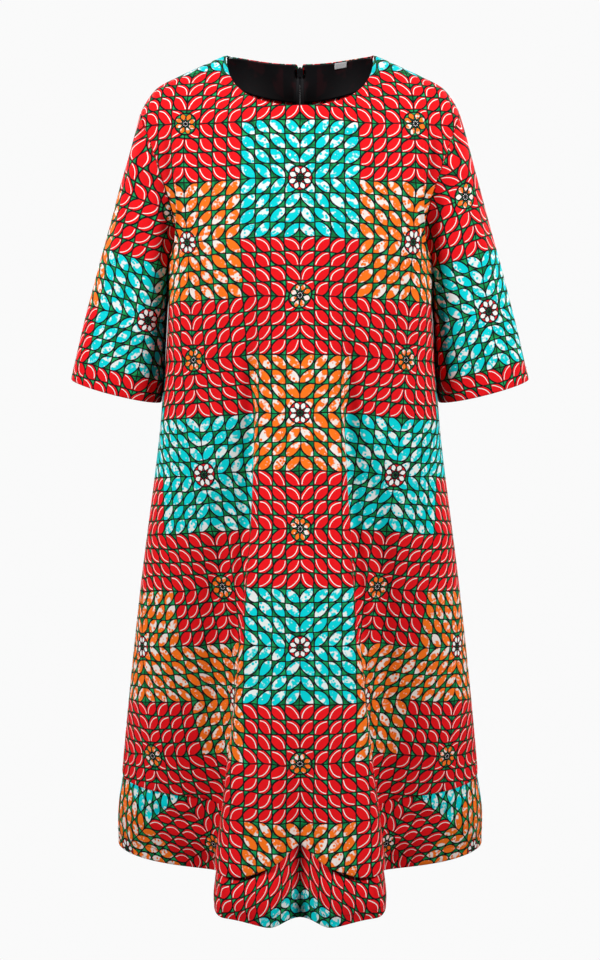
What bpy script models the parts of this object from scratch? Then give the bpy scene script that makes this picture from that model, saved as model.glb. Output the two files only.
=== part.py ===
"""A hollow maxi dress in its worn form: an A-line body with a bell of folds, half sleeves and a hem band.

Metres, +Z up, the front faces -Y. The origin lies between the shoulders, half way along the shoulder seams.
Angles run round the body from the centre front (0) to the centre back (180), positive towards +X.
Left and right are the wearer's: the wearer's left is +X.
"""

import math
from collections import namedtuple

import bpy
import numpy as np
from mathutils import Matrix, Vector

MM = 0.001

# Cloth and seams
CLOTH = 1.5 * MM
LINING = 1.0 * MM
TAPE = 1.0 * MM
LABEL = 1.0 * MM
SEAM_GAP = 0.3 * MM
LAYER_GAP = 0.4 * MM
ARMHOLE_GAP = 0.9 * MM

# Levels
UNDERARM = -0.261
HEM = -1.210
FRONT_HEM_DIP = 0.012
NECK_POINT = 0.038

# Grid: the neck point falls on a column, 14 / 25 = 0.56
COLUMNS = 25
SKIRT_ROWS = 16
UPPER_ROWS = 9
SLEEVE_SHARES = (0.0, 0.04, 0.10, 0.20, 0.32, 0.45, 0.58, 0.72, 0.86, 1.0)
BAND_ROWS = 4
NECK_SHARE = 0.56
SIDE_COLUMN = 0.8
FRONT_TOP_HEIGHTS = (0.950, 0.982)
BACK_TOP_HEIGHTS = (0.935, 0.960, 0.980, 0.990)

# Body sections from the underarm down to the hem; a higher squareness gives a flatter front and side
Section = namedtuple("Section", "level half_width front back squareness")
SECTIONS = (
    Section(-0.261, 0.1955, 0.130, 0.118, 2.8),
    Section(-0.481, 0.2115, 0.148, 0.130, 2.8),
    Section(-0.802, 0.2530, 0.188, 0.162, 2.4),
    Section(-0.998, 0.2755, 0.212, 0.186, 2.3),
    Section(-1.212, 0.2971, 0.235, 0.210, 2.25),
)

# Crests and valleys of the skirt: their angle at the top and at the hem, and the radius reached at the hem
Fold = namedtuple("Fold", "top_angle hem_angle hem_radius")
FOLD_START = -0.217
FOLD_GROWTH = 1.35
FOLD_DRIFT = 2.0
FRONT_FOLDS = (
    Fold(0, 0, 0.305),
    Fold(17, 23.3, 0.285),
    Fold(31, 51.6, 0.160),
    Fold(91, 95.7, 0.3015),
)
BACK_FOLDS_LEFT = (
    Fold(121, 125.6, 0.192),
    Fold(141, 150.8, 0.267),
    Fold(180, 180, 0.228),
)
BACK_FOLDS_RIGHT = (
    Fold(127, 133.5, 0.177),
    Fold(149, 160.1, 0.269),
    Fold(180, 180, 0.228),
)

# The inverted fold down the middle of the front, between two flutes
NOTCH_START = -0.762
NOTCH_DEPTH = 0.054
NOTCH_ANGLE = 5.4
NOTCH_GROWTH = 1.3

# Neck and shoulders
NECK_HALF_WIDTH = 0.109
FRONT_NECK_DROP = 0.077
BACK_NECK_DROP = 0.0075
FRONT_NECK_DEPTH = 0.095
BACK_NECK_DEPTH = 0.084
NECK_ROUNDNESS = 2.4
NECK_PLAN_ROUNDNESS = 2.0
SHOULDER_TIP = 0.2396
ShoulderPoint = namedtuple("ShoulderPoint", "share level")
SHOULDER_LINE = (
    ShoulderPoint(0.00, 0.0380),
    ShoulderPoint(0.20, 0.0272),
    ShoulderPoint(0.40, 0.0157),
    ShoulderPoint(0.60, 0.0040),
    ShoulderPoint(0.80, -0.0099),
    ShoulderPoint(0.92, -0.0278),
    ShoulderPoint(1.00, -0.0466),
)

# How the cloth arrives at the top edge, from the centre (share 0) to the armhole (share 1)
Arrival = namedtuple("Arrival", "share outward over up")
FRONT_ARRIVAL = (
    Arrival(0.00, 0.00, 0.07, 0.200),
    Arrival(0.30, -0.02, 0.10, 0.160),
    Arrival(0.48, -0.06, 0.15, 0.060),
    Arrival(0.56, -0.05, 0.19, 0.000),
    Arrival(0.75, 0.00, 0.24, 0.000),
    Arrival(1.00, 0.00, 0.26, 0.000),
)
BACK_ARRIVAL = (
    Arrival(0.00, 0.00, 0.12, 0.240),
    Arrival(0.30, -0.02, 0.14, 0.180),
    Arrival(0.48, -0.06, 0.16, 0.060),
    Arrival(0.56, -0.05, 0.19, 0.000),
    Arrival(0.75, 0.00, 0.24, 0.000),
    Arrival(1.00, 0.00, 0.26, 0.000),
)
ARMHOLE_START = (-0.13, 0.24, 0.02)
ARMHOLE_REACH = 0.62
ARMHOLE_INNER_SHARE = 0.97
JUST_BEHIND_SIDE = 90.000001

# Cuff: the outer end of its oval, its tilt from level and its two widths
CUFF_OUTER = (0.3526, -0.4475)
CUFF_TILT = math.radians(14.6)
CUFF_WIDTH = 0.1437
CUFF_DEPTH = 0.118
CUFF_FORWARD = 0.008
SLEEVE_BULGE = 3 * MM
UNDERARM_BULGE = 2.2 * MM
SLEEVE_START_TOP = (0.10, -0.36)
SLEEVE_START_UNDERARM = (0.053, 0.09)

# Lower edge of the skirt, which hangs over the band, and how far the band stands inside it
SeamPoint = namedtuple("SeamPoint", "angle level inset")
FRONT_SEAM = (
    SeamPoint(0, -1.107, 6 * MM),
    SeamPoint(10.5, -1.137, 8 * MM),
    SeamPoint(21, -1.156, 9 * MM),
    SeamPoint(31, -1.154, 9 * MM),
    SeamPoint(43.5, -1.116, 5 * MM),
    SeamPoint(55, -1.092, 3 * MM),
    SeamPoint(90, -1.089, 2.6 * MM),
)
BACK_SEAM = (
    SeamPoint(90, -1.089, 2.6 * MM),
    SeamPoint(128, -1.090, 3 * MM),
    SeamPoint(155, -1.125, 8 * MM),
    SeamPoint(180, -1.104, 6 * MM),
)
BAND_LAP = 12 * MM
BAND_PUFF = 4.5 * MM
BAND_PUFF_SHARE = 0.91

# Zip at the centre back: half the opening of its edge, by the depth under the neckline
EdgePoint = namedtuple("EdgePoint", "depth half_gap")
BACK_EDGE = (
    EdgePoint(0.000, 5.2 * MM),
    EdgePoint(0.003, 3.2 * MM),
    EdgePoint(0.006, 2.2 * MM),
    EdgePoint(0.011, 2.0 * MM),
    EdgePoint(0.017, 0.5 * MM),
    EdgePoint(0.025, SEAM_GAP / 2),
)
ZIP_END = -0.460
TAPE_WIDTH = 11 * MM
TAPE_TOP_DEPTH = 0.018
LINING_DROP = 0.085
LINING_EDGE = 5 * MM
LABEL_SIZE = (0.0195, 0.0122)
LABEL_CENTRE = 0.0645
LABEL_TOP = 0.990
LABEL_ROWS = (1.0, 0.5, 0.0)
LABEL_COLUMNS = (0.5, 0.17, -0.17, -0.5)

# Beside the zip the back is nearly flat for this many degrees
ZIP_REACH = 4
TAPE_ROW_CLEARANCE = (0.02, 0.005)

# Zip slider, in a frame whose X is across, Y out of the back and Z up along it
SLIDER_DEPTH = 0.0125
SLOPE_HEIGHT = 0.94
SLIDER_CLEARANCE = 0.6 * MM
SLIDER_BODY = (0.0090, 0.0026, 0.0130)
SLIDER_NECK_WIDTH = 0.0028
SLIDER_NECK_HEIGHT = 0.0040
SLIDER_NECK_DROP = 0.2 * MM
SLIDER_OVERLAP = 0.5 * MM
SLIDER_PLATE = (0.0044, 0.0012, 0.0080)
BRIDGE_WIDTH = 0.0014
BRIDGE_OUTER = (0.0036, 0.0062)
BRIDGE_HOLE = (0.0024, 0.0036)

# Pull tab: half its width at each level under the hinge, and the slot under the bar that it hangs by
PullPoint = namedtuple("PullPoint", "level half_width")
PULL_OUTLINE = (
    PullPoint(0.6 * MM, 2.0 * MM),
    PullPoint(0.2 * MM, 2.4 * MM),
    PullPoint(-4.8 * MM, 2.4 * MM),
    PullPoint(-10.8 * MM, 2.9 * MM),
    PullPoint(-18.0 * MM, 3.6 * MM),
    PullPoint(-21.1 * MM, 3.3 * MM),
    PullPoint(-23.0 * MM, 2.2 * MM),
    PullPoint(-24.0 * MM, 1.0 * MM),
)
PULL_THICKNESS = 1.2 * MM
PULL_SLOT_WIDTH = 2.2 * MM
PULL_SLOT_LENGTH = 4.8 * MM
PULL_DROP = 0.5 * MM

Finish = namedtuple("Finish", "name colour roughness metallic")
FINISHES = (
    Finish("body_print", (0.78, 0.02, 0.03), 0.85, 0.0),
    Finish("sleeve_print", (0.02, 0.55, 0.60), 0.85, 0.0),
    Finish("band_print", (0.02, 0.36, 0.12), 0.85, 0.0),
    Finish("lining", (0.012, 0.012, 0.016), 0.55, 0.0),
    Finish("label", (0.62, 0.63, 0.66), 0.8, 0.0),
    Finish("zip_tape", (0.015, 0.015, 0.017), 0.8, 0.0),
    Finish("zip_metal", (0.02, 0.02, 0.022), 0.4, 0.6),
)


def smoothstep(value):
    value = min(max(value, 0.0), 1.0)
    return value * value * (3 - 2 * value)


def eased(x, xs, ys):
    """A curve through the points (xs, ys) with no overshoot, flat at each point where it turns."""
    if x <= xs[0]:
        return ys[0]
    for k in range(len(xs) - 1):
        if x <= xs[k + 1]:
            return hermite_between(x, xs, ys, k)
    return ys[-1]


def hermite_between(x, xs, ys, k):
    step = xs[k + 1] - xs[k]
    start = limited_slope(xs, ys, k)
    end = limited_slope(xs, ys, k + 1)
    return float(hermite((x - xs[k]) / step, ys[k], start * step, ys[k + 1], end * step))


def limited_slope(xs, ys, k):
    """The slope at point k: the harmonic mean of the slopes beside it, or 0 where the curve turns."""
    if k in (0, len(xs) - 1):
        near = (0, 1) if k == 0 else (-2, -1)
        return (ys[near[1]] - ys[near[0]]) / (xs[near[1]] - xs[near[0]])
    before = (ys[k] - ys[k - 1]) / (xs[k] - xs[k - 1])
    after = (ys[k + 1] - ys[k]) / (xs[k + 1] - xs[k])
    if before * after <= 0:
        return 0.0
    return 2 * before * after / (before + after)


def hermite(t, start, start_slope, end, end_slope):
    return (
        (2 * t**3 - 3 * t**2 + 1) * start
        + (t**3 - 2 * t**2 + t) * start_slope
        + (3 * t**2 - 2 * t**3) * end
        + (t**3 - t**2) * end_slope
    )


def column(rows, name):
    return [getattr(row, name) for row in rows]


def section_radius(angle, level):
    """Radius of the plain body, a rounded oval, before its folds."""
    levels = [-row.level for row in SECTIONS]
    half_width = eased(-level, levels, column(SECTIONS, "half_width"))
    depth = eased(-level, levels, column(SECTIONS, "front" if abs(angle) <= 90 else "back"))
    power = eased(-level, levels, column(SECTIONS, "squareness"))
    across = abs(math.sin(math.radians(angle))) / half_width
    along = abs(math.cos(math.radians(angle))) / depth
    return (across**power + along**power) ** (-1 / power)


def folds_at(angle):
    return FRONT_FOLDS + (BACK_FOLDS_LEFT if angle > 0 else BACK_FOLDS_RIGHT)


def fold_offset(angle, level):
    """How far the folds push the cloth out (+) or in (-) of the plain body."""
    fall = max((FOLD_START - level) / (FOLD_START - HEM), 0.0)
    folds = folds_at(angle)
    angles = [fold.top_angle + (fold.hem_angle - fold.top_angle) * fall**FOLD_DRIFT for fold in folds]
    offsets = [fold.hem_radius - section_radius(fold.hem_angle, HEM) for fold in folds]
    size = abs(angle)
    for k in range(len(folds) - 1):
        if size <= angles[k + 1]:
            break
    blend = smoothstep((size - angles[k]) / (angles[k + 1] - angles[k]))
    return (offsets[k] + (offsets[k + 1] - offsets[k]) * blend) * fall**FOLD_GROWTH


def notch_offset(angle, level):
    fall = max((NOTCH_START - level) / (NOTCH_START - HEM), 0.0)
    return -NOTCH_DEPTH * fall**NOTCH_GROWTH * math.exp(-((angle / NOTCH_ANGLE) ** 2))


def body_point(angle, level):
    radius = section_radius(angle, level) + fold_offset(angle, level) + notch_offset(angle, level)
    turn = math.radians(angle)
    return np.array((radius * math.sin(turn), -radius * math.cos(turn), level))


def shared(angle):
    """Side of the body, whether the angle is in front, and its share of the way from centre to side."""
    side = 1 if angle >= 0 else -1
    front = abs(angle) <= 90
    share = abs(angle) / 90 if front else (180 - abs(angle)) / 90
    return side, front, share


def top_point(angle, front):
    """The neckline, then the shoulder seam, from the centre to the armhole."""
    side, _, share = shared(angle)
    over = -1 if front else 1
    if share <= NECK_SHARE:
        turn = share / NECK_SHARE * math.pi / 2
        x = NECK_HALF_WIDTH * math.sin(turn) ** (2 / NECK_ROUNDNESS)
        drop = FRONT_NECK_DROP if front else BACK_NECK_DROP
        depth = FRONT_NECK_DEPTH if front else BACK_NECK_DEPTH
        cosine = max(math.cos(turn), 0.0)
        z = NECK_POINT - drop * cosine ** (2 / NECK_ROUNDNESS)
        y = over * (SEAM_GAP / 2 + depth * cosine ** (2 / NECK_PLAN_ROUNDNESS))
    else:
        along = (share - NECK_SHARE) / (1 - NECK_SHARE)
        x = NECK_HALF_WIDTH + (SHOULDER_TIP - NECK_HALF_WIDTH) * along
        z = eased(along, column(SHOULDER_LINE, "share"), column(SHOULDER_LINE, "level"))
        y = over * SEAM_GAP / 2
    return np.array((side * x, y, z))


def upper_point(angle, rise, front):
    """The body above the underarm: rise 0 is the underarm level, rise 1 the neckline or shoulder seam."""
    side, _, share = shared(angle)
    over = 1 if front else -1
    start = body_point(angle, UNDERARM)
    end = top_point(angle, front)
    length = np.linalg.norm(end - start)
    step = 1 * MM
    below = body_point(angle, UNDERARM - step)
    start_slope = (start - below) / step * length
    armhole = np.array((side * ARMHOLE_START[0], -over * ARMHOLE_START[1], ARMHOLE_START[2]))
    near_armhole = smoothstep((share - ARMHOLE_REACH) / (1 - ARMHOLE_REACH))
    start_slope = start_slope * (1 - near_armhole) + armhole * near_armhole
    arrivals = FRONT_ARRIVAL if front else BACK_ARRIVAL
    shares = column(arrivals, "share")
    end_slope = np.array((
        side * eased(share, shares, column(arrivals, "outward")),
        over * eased(share, shares, column(arrivals, "over")),
        eased(share, shares, column(arrivals, "up")),
    ))
    return hermite(rise, start, start_slope, end, end_slope)


def seam_value(angle, name):
    rows = FRONT_SEAM if abs(angle) <= 90 else BACK_SEAM
    return eased(abs(angle), column(rows, "angle"), column(rows, name))


def panel_point(angle, height, front):
    """A point of the body: height -1 is the skirt's lower edge, 0 the underarm and 1 the top edge."""
    if height <= 0:
        level = UNDERARM + (UNDERARM - seam_value(angle, "level")) * height
        return body_point(angle, level)
    return upper_point(angle, height, front)


def outward(point_at, angle, height):
    """Unit normal, out of the body, of the surface that point_at(angle, height) gives."""
    turn = 0.05
    step = 0.001
    across = point_at(angle + turn, height) - point_at(angle - turn, height)
    up = point_at(angle, height + step) - point_at(angle, height - step)
    normal = np.cross(across, up)
    return normal / np.linalg.norm(normal)


def seam_margin(angle):
    """The angle that leaves half a seam gap at the side seam."""
    return math.degrees(SEAM_GAP / 2 / section_radius(90, UNDERARM)) * math.copysign(1, angle)


def panel_heights(extra=()):
    skirt = [-1 + row / SKIRT_ROWS for row in range(SKIRT_ROWS)]
    upper = [row / UPPER_ROWS for row in range(UPPER_ROWS + 1)]
    return sorted(set(skirt + upper) | set(extra))


def quarter_angles():
    """Angles from the centre to the side seam, closer together where the cloth bends over the seam."""
    return [90 * k / COLUMNS for k in range(COLUMNS)] + [90 - SIDE_COLUMN, 90 - seam_margin(90)]


def front_grid():
    """The wearer's left half of the front, from the centre front to the side seam."""
    heights = panel_heights(FRONT_TOP_HEIGHTS)
    return [[panel_point(angle, height, True) for angle in quarter_angles()] for height in heights]


def back_edge_gap(angle, height):
    """Half the gap between the two backs at this height of the centre back."""
    top = panel_point(angle, 1, False)
    depth = np.linalg.norm(top - panel_point(angle, height, False)) if height > 0 else 1.0
    return eased(depth, column(BACK_EDGE, "depth"), column(BACK_EDGE, "half_gap"))


def back_grid(side):
    """One half of the back, from the side seam to the zip edge at the centre back."""
    angles = [180 - angle for angle in reversed(quarter_angles())]
    rows = []
    for height in panel_heights(BACK_TOP_HEIGHTS):
        row = [panel_point(side * angle, height, False) for angle in angles]
        row[-1][0] = side * back_edge_gap(side * 180, height)
        rows.append(row)
    return rows


def inner_point(side, across, height, inset):
    """A point of the back at a distance across from its zip edge, moved in from the outer face by inset."""
    near = panel_point(side * (180 - ZIP_REACH), height, False)
    angle = 180 - ZIP_REACH * across / abs(near[0])
    point = panel_point(side * angle, height, False)
    normal = outward(lambda a, h: panel_point(a, h, False), side * angle, height)
    return point - normal * inset


def back_column_length():
    return np.linalg.norm(panel_point(180, 1, False) - panel_point(180, 0, False))


def tape_grid(side):
    """One zip tape, behind the edge of one half of the back."""
    inset = CLOTH + LAYER_GAP
    top = 1 - TAPE_TOP_DEPTH / back_column_length()
    end = (ZIP_END - UNDERARM) / (UNDERARM - seam_value(180, "level"))
    lowest, highest = end + TAPE_ROW_CLEARANCE[0], top - TAPE_ROW_CLEARANCE[1]
    between = [height for height in panel_heights(BACK_TOP_HEIGHTS) if lowest < height < highest]
    rows = []
    for height in [end] + between + [top]:
        row = [inner_point(side, across, height, inset) for across in (TAPE_WIDTH, TAPE_WIDTH / 2, 1 * MM)]
        row[-1][0] = side * SEAM_GAP / 2
        rows.append(row)
    return rows


def lining_grid(side):
    """The lining of one half of the back neck, as far down as the neck opening shows it."""
    inset = CLOTH + LAYER_GAP + TAPE + LAYER_GAP
    lowest = 1 - LINING_DROP / back_column_length()
    heights = [height for height in panel_heights(BACK_TOP_HEIGHTS) if lowest < height < 1]
    angles = [180 - 90 * k / COLUMNS for k in range(round(NECK_SHARE * COLUMNS) - 1, 0, -1)]
    rows = []
    for height in heights:
        row = []
        for angle in angles:
            point = panel_point(side * angle, height, False)
            normal = outward(lambda a, h: panel_point(a, h, False), side * angle, height)
            row.append(point - normal * inset)
        row.append(inner_point(side, LINING_EDGE, height, inset))
        rows.append(row)
    return rows


def label_grid():
    """The bare label inside the back neck, on the lining at the wearer's left."""
    inset = CLOTH + LAYER_GAP + TAPE + LAYER_GAP + LINING + LAYER_GAP
    width, length = LABEL_SIZE
    rows = []
    for down in LABEL_ROWS:
        height = LABEL_TOP - length / back_column_length() * down
        row = []
        for across in LABEL_COLUMNS:
            angle = label_angle(LABEL_CENTRE + width * across, height)
            point = panel_point(angle, height, False)
            row.append(point - outward(lambda a, h: panel_point(a, h, False), angle, height) * inset)
        rows.append(row)
    return rows


def label_angle(x, height):
    """The angle at which the back, at this height, lies at x."""
    low, high = 120.0, 180.0
    halvings = 30
    for _ in range(halvings):
        middle = (low + high) / 2
        if panel_point(middle, height, False)[0] > x:
            low = middle
        else:
            high = middle
    return (low + high) / 2


def armhole_edge(side, rise, front):
    """A point of the armhole, moved off the body's edge by the gap, in line with the body's cloth."""
    inner = 90 * ARMHOLE_INNER_SHARE
    angle, inner = (90, inner) if front else (JUST_BEHIND_SIDE, 180 - inner)
    edge = upper_point(side * angle, rise, front)
    step = 0.01
    above = upper_point(side * angle, min(rise + step, 1), front)
    below = upper_point(side * angle, max(rise - step, 0), front)
    along = (above - below) / np.linalg.norm(above - below)
    beyond = edge - upper_point(side * inner, rise, front)
    beyond -= along * np.dot(beyond, along)
    return edge + beyond / np.linalg.norm(beyond) * ARMHOLE_GAP


def armhole_rounds():
    """Steps round the armhole at the rows of the panels: turn from the shoulder tip, rise, in front."""
    front = [rise for rise in panel_heights(FRONT_TOP_HEIGHTS) if rise >= 0]
    back = [rise for rise in panel_heights(BACK_TOP_HEIGHTS) if rise >= 0]
    down = [(math.pi * (1 - rise), rise, True) for rise in reversed(front)]
    up = [(math.pi * (1 + rise), rise, False) for rise in back]
    return down + up[1:-1]


def cuff_point(side, turn):
    """A point of the cuff's oval: turn 0 is its outer end and a quarter turn its front."""
    inward = np.array((-math.cos(CUFF_TILT), 0.0, -math.sin(CUFF_TILT)))
    centre = np.array((CUFF_OUTER[0], -CUFF_FORWARD, CUFF_OUTER[1])) + inward * CUFF_WIDTH / 2
    point = centre - inward * math.cos(turn) * CUFF_WIDTH / 2
    point[1] -= math.sin(turn) * CUFF_DEPTH / 2
    return point * np.array((side, 1, 1))


def sleeve_grid(side):
    """One sleeve: a tube from the armhole to the cuff, a little fuller half way."""
    rounds = armhole_rounds()
    top = [armhole_edge(side, rise, front) for _, rise, front in rounds]
    cuff = [cuff_point(side, turn) for turn, _, _ in rounds]
    top_centre = sum(top) / len(top)
    cuff_centre = sum(cuff) / len(cuff)
    rows = []
    for t in SLEEVE_SHARES:
        points = []
        for (turn, _, _), start, end in zip(rounds, top, cuff):
            low = (1 - math.cos(turn)) / 2
            out, down = np.array(SLEEVE_START_TOP) * (1 - low) + np.array(SLEEVE_START_UNDERARM) * low
            point = hermite(t, start, np.array((side * out, 0.0, down)), end, end - start)
            spread = point - (top_centre * (1 - t) + cuff_centre * t)
            fuller = SLEEVE_BULGE * math.sin(math.pi * t) * (1 - low)
            fuller += UNDERARM_BULGE * math.sin(math.pi * t * t) * low
            points.append(point + spread / np.linalg.norm(spread) * fuller)
        rows.append(points)
    return rows


def hem_level(angle):
    return HEM - FRONT_HEM_DIP * max(math.cos(math.radians(angle)), 0.0) ** 2


def band_point(angle, fall):
    """A point of the hem band: fall 0 is its top edge, lapped by the skirt, and 1 the hem."""
    seam = seam_value(angle, "level")
    hem = hem_level(angle)
    level = seam + BAND_LAP + (hem - seam - BAND_LAP) * fall
    point = body_point(angle, level)
    normal = outward(body_point, angle, level)
    share_below = max((seam - level) / (seam - hem), 0.0)
    puff = BAND_PUFF * math.sin(math.pi * min(share_below / BAND_PUFF_SHARE, 1.0))
    return point - normal * (seam_value(angle, "inset") - puff)


def band_grid(angles):
    return [[band_point(angle, 1 - row / BAND_ROWS) for angle in angles] for row in range(BAND_ROWS + 1)]


def band_back_angles():
    """Round the back from the wearer's left side seam to the right one."""
    left = [180 - angle for angle in reversed(quarter_angles())]
    return left + [-angle for angle in reversed(left[:-1])]


def clear_scene():
    for obj in list(bpy.data.objects):
        bpy.data.objects.remove(obj, do_unlink=True)


def new_collection(name, hidden=False):
    collection = bpy.data.collections.new(name)
    bpy.context.scene.collection.children.link(collection)
    collection.hide_render = hidden
    return collection


def make_material(finish):
    made = bpy.data.materials.new(finish.name)
    made.use_nodes = True
    shader = made.node_tree.nodes["Principled BSDF"]
    shader.inputs["Base Color"].default_value = (*finish.colour, 1.0)
    shader.inputs["Roughness"].default_value = finish.roughness
    shader.inputs["Metallic"].default_value = finish.metallic
    made.diffuse_color = (*finish.colour, 1.0)
    return made


def add_object(collection, name, data, finish):
    obj = bpy.data.objects.new(name, data)
    data.materials.append(finish)
    collection.objects.link(obj)
    return obj


def surface_mesh(name, rows, closed=False, flipped=False):
    """A loft through rows of points; closed joins the last column to the first."""
    width = len(rows[0])
    points = [tuple(point) for row in rows for point in row]
    faces = []
    for row in range(len(rows) - 1):
        for k in range(width if closed else width - 1):
            corner = row * width + k
            beside = row * width + (k + 1) % width
            face = (corner, beside, beside + width, corner + width)
            faces.append(tuple(reversed(face)) if flipped else face)
    mesh = bpy.data.meshes.new(name)
    mesh.from_pydata(points, [], faces)
    mesh.update()
    return mesh


def add_cloth(collection, name, mesh, finish, thickness=CLOTH, mirrored=False):
    obj = add_object(collection, name, mesh, finish)
    if mirrored:
        mirror = obj.modifiers.new("Mirror", "MIRROR")
        mirror.use_axis[0] = True
        mirror.merge_threshold = 0.0001
    shell = obj.modifiers.new("Solidify", "SOLIDIFY")
    shell.thickness = thickness
    shell.offset = -1.0
    for polygon in mesh.polygons:
        polygon.use_smooth = True
    return obj


def add_panels(collection, finishes):
    mesh = surface_mesh("front", front_grid())
    add_cloth(collection, "front", mesh, finishes["body_print"], mirrored=True)
    for side, name in ((1, "left"), (-1, "right")):
        mesh = surface_mesh(f"back_{name}", back_grid(side), flipped=side < 0)
        add_cloth(collection, f"back_{name}", mesh, finishes["body_print"])
        mesh = surface_mesh(f"sleeve_{name}", sleeve_grid(side), closed=True, flipped=side < 0)
        add_cloth(collection, f"sleeve_{name}", mesh, finishes["sleeve_print"])


def add_band(collection, finishes):
    mesh = surface_mesh("band_front", band_grid(quarter_angles()))
    add_cloth(collection, "band_front", mesh, finishes["band_print"], mirrored=True)
    mesh = surface_mesh("band_back", band_grid(band_back_angles()))
    add_cloth(collection, "band_back", mesh, finishes["band_print"])


def add_inside(collection, finishes):
    for side, name in ((1, "left"), (-1, "right")):
        mesh = surface_mesh(f"lining_{name}", lining_grid(side), flipped=side < 0)
        add_cloth(collection, f"lining_{name}", mesh, finishes["lining"], LINING)
        mesh = surface_mesh(f"zip_tape_{name}", tape_grid(side), flipped=side < 0)
        add_cloth(collection, f"zip_tape_{name}", mesh, finishes["zip_tape"], TAPE)
    mesh = surface_mesh("neck_label", label_grid())
    add_cloth(collection, "neck_label", mesh, finishes["label"], LABEL)


def back_frame(depth):
    """Place and turn of a frame on the centre back, this far under the neckline: Y out, Z up along it."""
    top = Vector(panel_point(180, 1, False))
    near = Vector(panel_point(180, SLOPE_HEIGHT, False))
    up = (top - near).normalized()
    out = up.cross(Vector((1, 0, 0)))
    place = top - up * depth
    place.x = 0.0
    turn = Matrix((Vector((1, 0, 0)), out, up)).transposed()
    return place, turn


def add_box(collection, name, size, centre, finish):
    bpy.ops.mesh.primitive_cube_add(size=1)
    obj = bpy.context.object
    obj.name = name
    obj.data.name = name
    obj.data.transform(Matrix.Translation(centre) @ Matrix.Diagonal((*size, 1.0)))
    for old in list(obj.users_collection):
        old.objects.unlink(obj)
    collection.objects.link(obj)
    obj.data.materials.append(finish)
    return obj


def add_boolean(obj, tool, operation):
    tool.parent = obj
    tool.hide_render = True
    tool.display_type = "WIRE"
    cut = obj.modifiers.new(f"{operation} {tool.name}", "BOOLEAN")
    cut.operation = operation
    cut.solver = "EXACT"
    cut.object = tool


def slider_levels():
    """Distances out of the back at which the slider's layers lie."""
    body_out = -(CLOTH + LAYER_GAP + TAPE + LAYER_GAP)
    return body_out, SLIDER_CLEARANCE, SLIDER_CLEARANCE + SLIDER_PLATE[1]


def pull_axis(place, turn):
    """The pull's hinge: the middle of the hole in the slider's bridge, where the eye's bar hangs."""
    _, _, plate_out = slider_levels()
    return place + turn @ Vector((0, plate_out + BRIDGE_HOLE[0] / 2, bridge_height() - PULL_DROP))


def bridge_height():
    return SLIDER_BODY[2] / 2 - SLIDER_PLATE[2] / 2


def add_slider(collection, cutters, finishes):
    """The slider: its body inside the back, a neck through the top opening, a plate and a bridge."""
    place, turn = back_frame(SLIDER_DEPTH)
    body_out, plate_in, plate_out = slider_levels()
    finish = finishes["zip_metal"]
    slider = add_box(collection, "zip_slider", SLIDER_BODY, (0, body_out - SLIDER_BODY[1] / 2, 0), finish)
    top = SLIDER_BODY[2] / 2
    neck_size = (SLIDER_NECK_WIDTH, plate_in - body_out + 2 * SLIDER_OVERLAP, SLIDER_NECK_HEIGHT)
    neck_centre = (0, (plate_in + body_out) / 2, top - SLIDER_NECK_HEIGHT / 2 - SLIDER_NECK_DROP)
    plate_centre = (0, (plate_in + plate_out) / 2, bridge_height())
    bridge_size = (BRIDGE_WIDTH, BRIDGE_OUTER[0] + SLIDER_OVERLAP, BRIDGE_OUTER[1])
    bridge_centre = (0, plate_out + (BRIDGE_OUTER[0] - SLIDER_OVERLAP) / 2, bridge_height())
    hole_size = (BRIDGE_WIDTH * 3, BRIDGE_HOLE[0], BRIDGE_HOLE[1])
    hole_centre = (0, plate_out + BRIDGE_HOLE[0] / 2, bridge_height())
    for name, size, centre, operation in (
        ("slider_neck", neck_size, neck_centre, "UNION"),
        ("slider_plate", SLIDER_PLATE, plate_centre, "UNION"),
        ("slider_bridge", bridge_size, bridge_centre, "UNION"),
        ("slider_bridge_hole", hole_size, hole_centre, "DIFFERENCE"),
    ):
        add_boolean(slider, add_box(cutters, name, size, centre, finish), operation)
    slider.matrix_world = Matrix.Translation(place) @ turn.to_4x4()
    return slider


def add_outline(curve, points):
    spline = curve.splines.new("POLY")
    spline.points.add(len(points) - 1)
    for target, (x, z) in zip(spline.points, points):
        target.co = (x, z, 0.0, 1.0)
    spline.use_cyclic_u = True


def add_pull(collection, finishes):
    """The pull tab, hanging by the bar above its slot from the slider's bridge, its origin on the hinge."""
    place, turn = back_frame(SLIDER_DEPTH)
    curve = bpy.data.curves.new("zip_pull", "CURVE")
    curve.dimensions = "2D"
    curve.fill_mode = "BOTH"
    curve.extrude = PULL_THICKNESS / 2
    right = [(point.half_width, point.level) for point in PULL_OUTLINE]
    left = [(-half_width, level) for half_width, level in reversed(right)]
    add_outline(curve, right + left)
    half = PULL_SLOT_WIDTH / 2
    top = -PULL_THICKNESS / 2
    bottom = -PULL_SLOT_LENGTH
    add_outline(curve, [(-half, top), (half, top), (half, bottom), (-half, bottom)])
    pull = add_object(collection, "zip_pull", curve, finishes["zip_metal"])
    stand_up = Matrix.Rotation(math.radians(90), 4, "X")
    pull.matrix_world = Matrix.Translation(pull_axis(place, turn)) @ turn.to_4x4() @ stand_up
    return pull


def main():
    clear_scene()
    dress = new_collection("maxi_dress")
    cutters = new_collection("cutters", hidden=True)
    finishes = {finish.name: make_material(finish) for finish in FINISHES}
    add_panels(dress, finishes)
    add_band(dress, finishes)
    add_inside(dress, finishes)
    add_slider(dress, cutters, finishes)
    add_pull(dress, finishes)


main()
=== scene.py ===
"""The looks of a hollow, worn maxi dress in printed cotton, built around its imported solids.

Metres, +Z up, the front faces -Y. Angles run round the body from the centre front (0) to the centre
back (180), above 0 on the wearer's left.
"""

import math
from collections import namedtuple

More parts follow.
